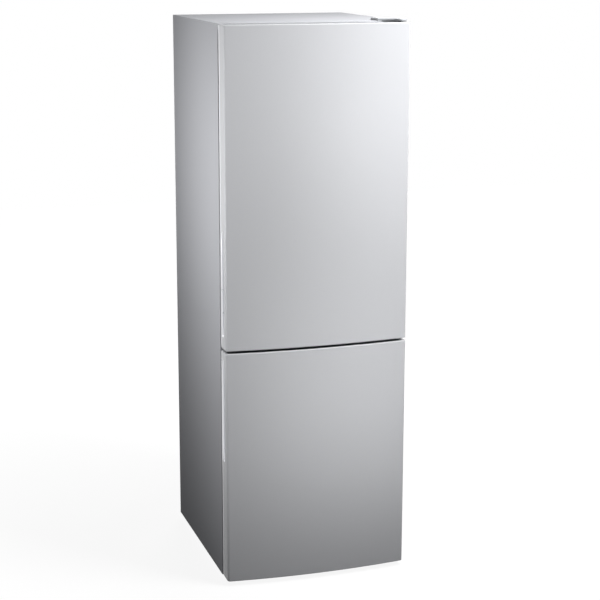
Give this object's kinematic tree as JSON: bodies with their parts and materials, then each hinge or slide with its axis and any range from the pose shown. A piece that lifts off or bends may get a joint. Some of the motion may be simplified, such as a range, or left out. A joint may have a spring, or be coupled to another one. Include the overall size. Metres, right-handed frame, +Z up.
{
  "type": "refrigerator",
  "caption": "Tall fridge-freezer with bowed silver doors over each other, recessed side grips, glass shelves, door bins and pull-out drawers.",
  "frame": {"origin": "middle of the bounding box's bottom, on the floor", "axes": "+X to the right of a person who faces the doors, +Y to the back, +Z up; the doors face -Y"},
  "size_m": [0.595, 0.671, 1.782],
  "materials": {
    "case_paint": "satin silver coat on steel sheet",
    "door_paint": "satin silver coat on bowed steel sheet",
    "zinc_steel": "zinc coated steel",
    "back_sheet": "grey coated steel sheet",
    "foam": "rigid polyurethane foam",
    "liner": "vacuum formed white polystyrene",
    "dark_plastic": "moulded dark grey plastic",
    "grey_plastic": "moulded silver grey plastic",
    "white_plastic": "moulded white plastic",
    "clear_plastic": "moulded clear polystyrene",
    "lens": "moulded opal plastic",
    "seal": "extruded soft vinyl",
    "glass": "tempered sheet glass",
    "black_steel": "black baked coat on drawn steel",
    "black_rubber": "moulded rubber",
    "fin_aluminium": "pressed aluminium fins and tube"
  },
  "bodies": {
    "cabinet": {"side_panel_left": "case_paint", "side_panel_right": "case_paint", "top_panel": "case_paint", "back_panel": "back_sheet", "base_plate": "zinc_steel", "centre_rail": "case_paint", "insulation_foam": "foam", "fridge_liner": "liner", "freezer_liner": "liner", "top_hinge": "zinc_steel", "top_hinge_cover": "dark_plastic", "middle_hinge": "zinc_steel", "bottom_hinge": "zinc_steel", "hinge_screws": "zinc_steel", "compressor": "black_steel", "compressor_grommets": "black_rubber", "drip_tray": "dark_plastic", "condenser_coil": "black_steel", "compressor_cover": "back_sheet", "cord_gland": "dark_plastic", "evaporator": "fin_aluminium", "evaporator_cover": "white_plastic", "fan_motor": "dark_plastic", "air_duct_cover": "white_plastic", "control_box": "white_plastic", "lamp_lens": "lens", "shelf_glass_1": "glass", "shelf_glass_2": "glass", "shelf_glass_3": "glass", "shelf_glass_4": "glass", "shelf_trims": "grey_plastic"},
    "upper_door": {"upper_door_skin": "door_paint", "upper_door_foam": "foam", "upper_door_liner": "liner", "upper_door_top_cap": "dark_plastic", "upper_door_bottom_cap": "dark_plastic", "upper_door_gasket": "seal", "upper_door_grip": "grey_plastic", "door_bin_1": "clear_plastic", "door_bin_2": "clear_plastic", "door_bin_3": "clear_plastic", "door_bin_4": "clear_plastic"},
    "lower_door": {"lower_door_skin": "door_paint", "lower_door_foam": "foam", "lower_door_liner": "liner", "lower_door_top_cap": "dark_plastic", "lower_door_bottom_cap": "dark_plastic", "lower_door_gasket": "seal", "lower_door_grip": "grey_plastic"},
    "fan": {"evaporator_fan": "dark_plastic"},
    "dial": {"thermostat_dial": "grey_plastic"},
    "foot_left": {"front_foot_left": "dark_plastic"},
    "foot_right": {"front_foot_right": "dark_plastic"},
    "roller_left": {"rear_roller_left": "dark_plastic"},
    "roller_right": {"rear_roller_right": "dark_plastic"},
    "vegetable_drawer_left": {"crisper_left": "clear_plastic"},
    "vegetable_drawer_right": {"crisper_right": "clear_plastic"},
    "freezer_drawer_top": {"freezer_drawer_top": "clear_plastic"},
    "freezer_drawer_middle": {"freezer_drawer_middle": "clear_plastic"},
    "freezer_drawer_bottom": {"freezer_drawer_bottom": "clear_plastic"}
  },
  "joints": [
    {"name": "upper_door_hinge", "type": "hinge", "parent": "cabinet", "child": "upper_door", "pos_m": [0.2795, -0.2875, 1.2735], "axis": [0, 0, 1], "range_deg": [0, 120]},
    {"name": "lower_door_hinge", "type": "hinge", "parent": "cabinet", "child": "lower_door", "pos_m": [0.2795, -0.2875, 0.3915], "axis": [0, 0, 1], "range_deg": [0, 120]},
    {"name": "fan_spin", "type": "hinge", "parent": "cabinet", "child": "fan", "pos_m": [0, 0.2125, 0.658], "axis": [0, 1, 0], "continuous": true},
    {"name": "dial_turn", "type": "hinge", "parent": "cabinet", "child": "dial", "pos_m": [0.078, -0.1175, 1.706], "axis": [0, 1, 0], "range_deg": [-135, 135]},
    {"name": "foot_left_turn", "type": "hinge", "parent": "cabinet", "child": "foot_left", "pos_m": [-0.2455, -0.1895, 0.01], "axis": [0, 0, 1], "continuous": true},
    {"name": "foot_right_turn", "type": "hinge", "parent": "cabinet", "child": "foot_right", "pos_m": [0.2455, -0.1895, 0.01], "axis": [0, 0, 1], "continuous": true},
    {"name": "roller_left_spin", "type": "hinge", "parent": "cabinet", "child": "roller_left", "pos_m": [-0.2355, 0.2895, 0.017], "axis": [1, 0, 0], "continuous": true},
    {"name": "roller_right_spin", "type": "hinge", "parent": "cabinet", "child": "roller_right", "pos_m": [0.2355, 0.2895, 0.017], "axis": [1, 0, 0], "continuous": true},
    {"name": "vegetable_drawer_left_slide", "type": "slide", "parent": "cabinet", "child": "vegetable_drawer_left", "axis": [0, -1, 0], "range_m": [0, 0.028]},
    {"name": "vegetable_drawer_right_slide", "type": "slide", "parent": "cabinet", "child": "vegetable_drawer_right", "axis": [0, -1, 0], "range_m": [0, 0.028]},
    {"name": "freezer_drawer_top_slide", "type": "slide", "parent": "cabinet", "child": "freezer_drawer_top", "axis": [0, -1, 0], "range_m": [0, 0.026]},
    {"name": "freezer_drawer_middle_slide", "type": "slide", "parent": "cabinet", "child": "freezer_drawer_middle", "axis": [0, -1, 0], "range_m": [0, 0.026]},
    {"name": "freezer_drawer_bottom_slide", "type": "slide", "parent": "cabinet", "child": "freezer_drawer_bottom", "axis": [0, -1, 0], "range_m": [0, 0.026]}
  ]
}
